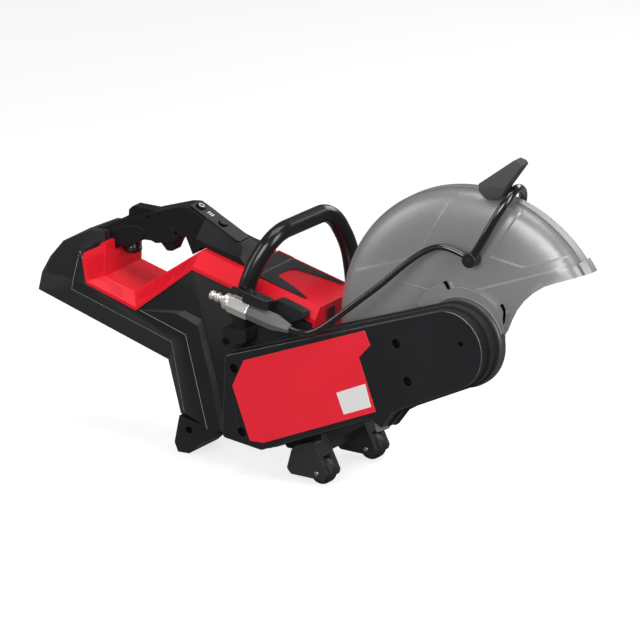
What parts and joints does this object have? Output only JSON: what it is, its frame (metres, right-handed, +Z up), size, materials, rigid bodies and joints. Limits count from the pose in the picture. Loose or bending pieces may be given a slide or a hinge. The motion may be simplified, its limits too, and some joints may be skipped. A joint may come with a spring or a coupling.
{
  "type": "cut-off saw",
  "caption": "Hand-held cordless cut-off saw with belt arm, swinging disc guard, water kit, wrap-round front handle and rear trigger grip.",
  "frame": {"origin": "centre of the footprint box on the floor, with the saw standing on its foot and two wheels", "axes": "+X forward to the guard, +Y to the side away from the belt arm, +Z up"},
  "size_m": [0.7814, 0.214, 0.4448],
  "materials": {
    "housing_black": "fine moulded texture",
    "cover_red": "semi-gloss moulding",
    "grip_black": "soft-touch moulding",
    "panel_black": "smooth",
    "arm_black": "fine powder coat",
    "badge_red": "printed plate",
    "guard_grey": "satin silver-grey",
    "lever_grey": "moulded",
    "tube_black": "gloss black coat",
    "hose_black": "semi-gloss",
    "tyre_black": "matte",
    "nickel": "plated",
    "coupling_grey": "moulded",
    "steel": "machined",
    "dark_screws": "black oxide",
    "cast_alloy": "as cast",
    "motor_parts": "laminated",
    "moulded_grey": "moulded"
  },
  "bodies": {
    "root": {"rear_housing_right": "housing_black", "rear_housing_left": "housing_black", "rear_foot": "housing_black", "front_skid": "housing_black", "wheel_forks": "housing_black", "battery_rails": "housing_black", "hood_top_panel": "housing_black", "front_handle_clamps": "housing_black", "valve_bracket": "housing_black", "hood": "cover_red", "handle_tray": "cover_red", "handle_grip": "grip_black", "control_post": "grip_black", "grip_sleeve": "grip_black", "control_panel": "panel_black", "arm_casting": "arm_black", "arm_cover": "arm_black", "badge_plate": "badge_red", "front_handle": "tube_black", "main_hose": "hose_black", "drive_belt": "tyre_black", "inlet_nipple": "nickel", "valve_body": "nickel", "valve_coupling": "coupling_grey", "bearings": "steel", "axle_pins": "steel", "trigger_spring": "steel", "lock_off_spring": "steel", "handle_pins": "dark_screws", "arm_cover_screws": "dark_screws", "front_handle_bolts": "dark_screws", "guard_stop_lug": "cast_alloy", "motor_plate": "cast_alloy", "motor_stator": "motor_parts", "switch_block": "moulded_grey", "terminal_block": "moulded_grey", "controller_board": "moulded_grey"},
    "guard": {"guard_right_shell": "guard_grey", "guard_left_shell": "guard_grey", "guard_rim": "guard_grey", "guard_hub_ring": "guard_grey", "guard_lever": "lever_grey", "guard_screws": "dark_screws", "water_fittings": "lever_grey", "crossover_hose": "hose_black"},
    "drive": {"spindle": "steel", "spindle_pulley": "steel", "inner_flange": "steel", "outer_flange": "steel", "arbor_bolt": "steel"},
    "motor": {"motor_rotor": "steel", "motor_pulley": "steel", "motor_fan": "moulded_grey"},
    "wheel_right_body": {"wheel_right": "tyre_black"},
    "wheel_left_body": {"wheel_left": "tyre_black"},
    "trigger_body": {"trigger": "grip_black"},
    "lock_off_body": {"lock_off_lever": "grip_black"},
    "valve_knob_body": {"valve_knob": "lever_grey"},
    "power_button_body": {"power_button": "panel_black"},
    "water_button_body": {"water_button": "panel_black"}
  },
  "joints": [
    {"name": "guard_swing", "type": "hinge", "parent": "root", "child": "guard", "pos_m": [0.2263, 0.005, 0.207], "axis": [0, 1, 0], "range_deg": [-50, 8], "deforming": ["main_hose"]},
    {"name": "spindle_spin", "type": "hinge", "parent": "root", "child": "drive", "pos_m": [0.2263, 0.005, 0.207], "axis": [0, 1, 0], "continuous": true},
    {"name": "motor_spin", "type": "hinge", "parent": "root", "child": "motor", "pos_m": [-0.0207, 0.005, 0.1135], "axis": [0, 1, 0], "continuous": true},
    {"name": "wheel_right_spin", "type": "hinge", "parent": "root", "child": "wheel_right_body", "pos_m": [0.0338, -0.056, 0.0162], "axis": [0, 1, 0], "continuous": true},
    {"name": "wheel_left_spin", "type": "hinge", "parent": "root", "child": "wheel_left_body", "pos_m": [0.0338, 0.066, 0.0162], "axis": [0, 1, 0], "continuous": true},
    {"name": "trigger_pull", "type": "hinge", "parent": "root", "child": "trigger_body", "pos_m": [-0.2017, 0.005, 0.275], "axis": [0, 1, 0], "range_deg": [0, 12], "stiffness_Nm_per_rad": 1.5, "springref_deg": -17.19, "deforming": ["trigger_spring"]},
    {"name": "lock_off_press", "type": "hinge", "parent": "root", "child": "lock_off_body", "pos_m": [-0.2412, 0.005, 0.29], "axis": [0, -1, 0], "range_deg": [0, 4.5], "stiffness_Nm_per_rad": 1.5, "springref_deg": -11.46, "deforming": ["lock_off_spring"]},
    {"name": "water_valve_turn", "type": "hinge", "parent": "root", "child": "valve_knob_body", "pos_m": [-0.04889, -0.095, 0.23689], "axis": [0.2419, 0, 0.9703], "range_deg": [-90, 0]},
    {"name": "power_button_press", "type": "slide", "parent": "root", "child": "power_button_body", "axis": [-0.4695, 0, -0.8829], "range_m": [0, 0.0012], "stiffness_N_per_m": 600, "springref_m": -0.001},
    {"name": "water_button_press", "type": "slide", "parent": "root", "child": "water_button_body", "axis": [-0.4695, 0, -0.8829], "range_m": [0, 0.0012], "stiffness_N_per_m": 600, "springref_m": -0.001}
  ],
  "couplings": [
    {"joint": "motor_spin", "follows": "spindle_spin", "ratio": 2.1111}
  ]
}
